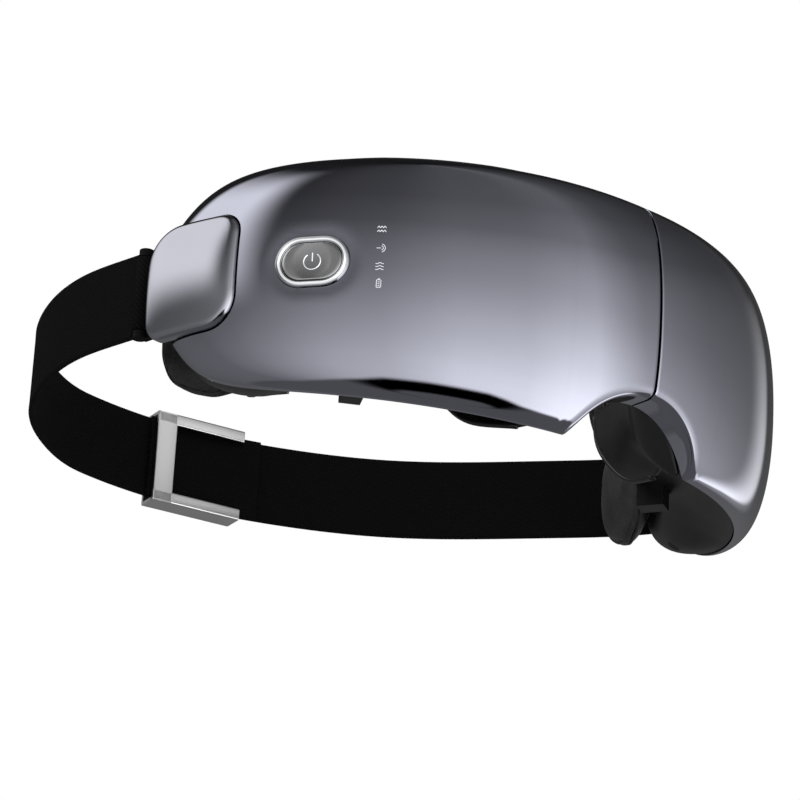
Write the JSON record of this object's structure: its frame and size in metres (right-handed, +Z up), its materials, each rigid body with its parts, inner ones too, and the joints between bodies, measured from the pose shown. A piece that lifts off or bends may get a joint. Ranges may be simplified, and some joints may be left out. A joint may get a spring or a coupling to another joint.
{
  "type": "eye massager mask",
  "caption": "Wrap-around eye massager mask with a polished shell folding at the nose bridge, a side power button, soft eye pads and an elastic head strap with a metal adjuster.",
  "frame": {"origin": "on the axis of the centre fold, at the head strap's mid-height", "axes": "+Z up along the fold axis, front of the mask towards -Y, +X towards the wearer's left"},
  "size_m": [0.213, 0.2022, 0.0739],
  "materials": {
    "gunmetal_shell": "high gloss metallised gunmetal",
    "temple_silver": "high gloss metallised silver grey",
    "chrome_trim": "polished chrome",
    "button_cap": "satin",
    "soft_touch_black": "soft-touch matt",
    "pad_leatherette": "fine-grain matt leatherette",
    "silicone_black": "matt silicone",
    "airbag_fabric": "knit",
    "heater_film": "printed film",
    "black_plastic": "moulded",
    "motor_steel": "drawn can",
    "tungsten": "sintered",
    "screw_steel": "black zinc",
    "hinge_steel": "pressed",
    "board_green": "solder mask",
    "battery_wrap": "shrink film",
    "tube_clear": "translucent silicone",
    "icon_white": "translucent window",
    "flex_orange": "polyimide film",
    "elastic_black": "woven elastic",
    "glide_nickel": "satin nickel"
  },
  "bodies": {
    "right_module": {"front_cover_right": "gunmetal_shell", "rear_housing_right": "soft_touch_black", "face_pad_right": "pad_leatherette", "nose_wing_right": "silicone_black", "airbag_right": "airbag_fabric", "heating_film_right": "heater_film", "vibration_motor_right": "motor_steel", "speaker_right": "black_plastic", "temple_cover_right": "temple_silver", "strap_anchor_right": "black_plastic", "pad_clip_right": "black_plastic", "screws_right": "screw_steel", "hinge_bracket_right": "hinge_steel", "hinge_pin": "hinge_steel", "bridge_gusset": "silicone_black", "flex_cable": "flex_orange", "button_bezel": "chrome_trim", "switch_board": "board_green", "indicator_windows": "icon_white", "usb_port": "motor_steel", "main_board": "board_green"},
    "left_module": {"front_cover_left": "gunmetal_shell", "rear_housing_left": "soft_touch_black", "face_pad_left": "pad_leatherette", "nose_wing_left": "silicone_black", "airbag_left": "airbag_fabric", "heating_film_left": "heater_film", "vibration_motor_left": "motor_steel", "speaker_left": "black_plastic", "temple_cover_left": "temple_silver", "strap_anchor_left": "black_plastic", "pad_clip_left": "black_plastic", "screws_left": "screw_steel", "hinge_bracket_left": "hinge_steel", "battery": "battery_wrap", "air_pump": "black_plastic", "release_valve": "motor_steel", "air_tubes": "tube_clear"},
    "power_button": {"power_button": "button_cap"},
    "switch_plunger": {"switch_plunger": "black_plastic"},
    "motor_weight_right": {"motor_weight_right": "tungsten"},
    "motor_weight_left": {"motor_weight_left": "tungsten"},
    "strap_link_1": {"strap_link_1": "elastic_black"},
    "strap_link_2": {"strap_link_2": "elastic_black"},
    "strap_link_3": {"strap_link_3": "elastic_black", "strap_tail": "elastic_black"},
    "strap_link_4": {"strap_link_4": "elastic_black"},
    "strap_link_5": {"strap_link_5": "elastic_black"},
    "tri_glide": {"tri_glide": "glide_nickel"}
  },
  "joints": [
    {"name": "centre_fold", "type": "hinge", "parent": "right_module", "child": "left_module", "pos_m": [0, 0, 0.0045], "axis": [0, 0, 1], "range_deg": [0, 60], "deforming": ["bridge_gusset", "flex_cable"]},
    {"name": "button_press", "type": "slide", "parent": "right_module", "child": "power_button", "axis": [0.8218, 0.5697, 0], "range_m": [0, 0.0008], "stiffness_N_per_m": 600},
    {"name": "plunger_travel", "type": "slide", "parent": "right_module", "child": "switch_plunger", "axis": [0.8218, 0.5697, 0], "range_m": [0, 0.0008]},
    {"name": "motor_spin_right", "type": "hinge", "parent": "right_module", "child": "motor_weight_right", "pos_m": [-0.05227, 0.02106, 0.022], "axis": [-0.8075, 0.5899, 0], "continuous": true},
    {"name": "motor_spin_left", "type": "hinge", "parent": "left_module", "child": "motor_weight_left", "pos_m": [0.05227, 0.02106, 0.022], "axis": [0.8075, 0.5899, 0], "continuous": true},
    {"name": "strap_swing", "type": "hinge", "parent": "right_module", "child": "strap_link_1", "pos_m": [-0.1015, 0.0875, 0], "axis": [0, 0, 1], "range_deg": [0, 40.2]},
    {"name": "strap_bend_1", "type": "hinge", "parent": "strap_link_1", "child": "strap_link_2", "pos_m": [-0.09614, 0.1434, 0], "axis": [0, 0, 1], "range_deg": [0, 36.1]},
    {"name": "strap_bend_2", "type": "hinge", "parent": "strap_link_2", "child": "strap_link_3", "pos_m": [-0.05, 0.1848, 0], "axis": [0, 0, 1], "range_deg": [-34.2, 0]},
    {"name": "strap_bend_3", "type": "hinge", "parent": "strap_link_3", "child": "strap_link_4", "pos_m": [0.015, 0.1772, 0], "axis": [0, 0, 1], "range_deg": [-50.2, 0]},
    {"name": "strap_bend_4", "type": "hinge", "parent": "strap_link_4", "child": "strap_link_5", "pos_m": [0.06226, 0.14349, 0], "axis": [0, 0, 1], "range_deg": [0, 10.3]},
    {"name": "tri_glide_slide", "type": "hinge", "parent": "strap_link_3", "child": "tri_glide", "pos_m": [-0.03067, 0.06838, 0], "axis": [0, 0, 1], "range_deg": [-4, 4]}
  ],
  "couplings": [
    {"joint": "plunger_travel", "follows": "button_press", "ratio": 1},
    {"joint": "strap_swing", "follows": "centre_fold", "ratio": 0.661},
    {"joint": "strap_bend_1", "follows": "centre_fold", "ratio": 0.594},
    {"joint": "strap_bend_2", "follows": "centre_fold", "ratio": -0.561},
    {"joint": "strap_bend_3", "follows": "centre_fold", "ratio": -0.829},
    {"joint": "strap_bend_4", "follows": "centre_fold", "ratio": 0.164}
  ]
}
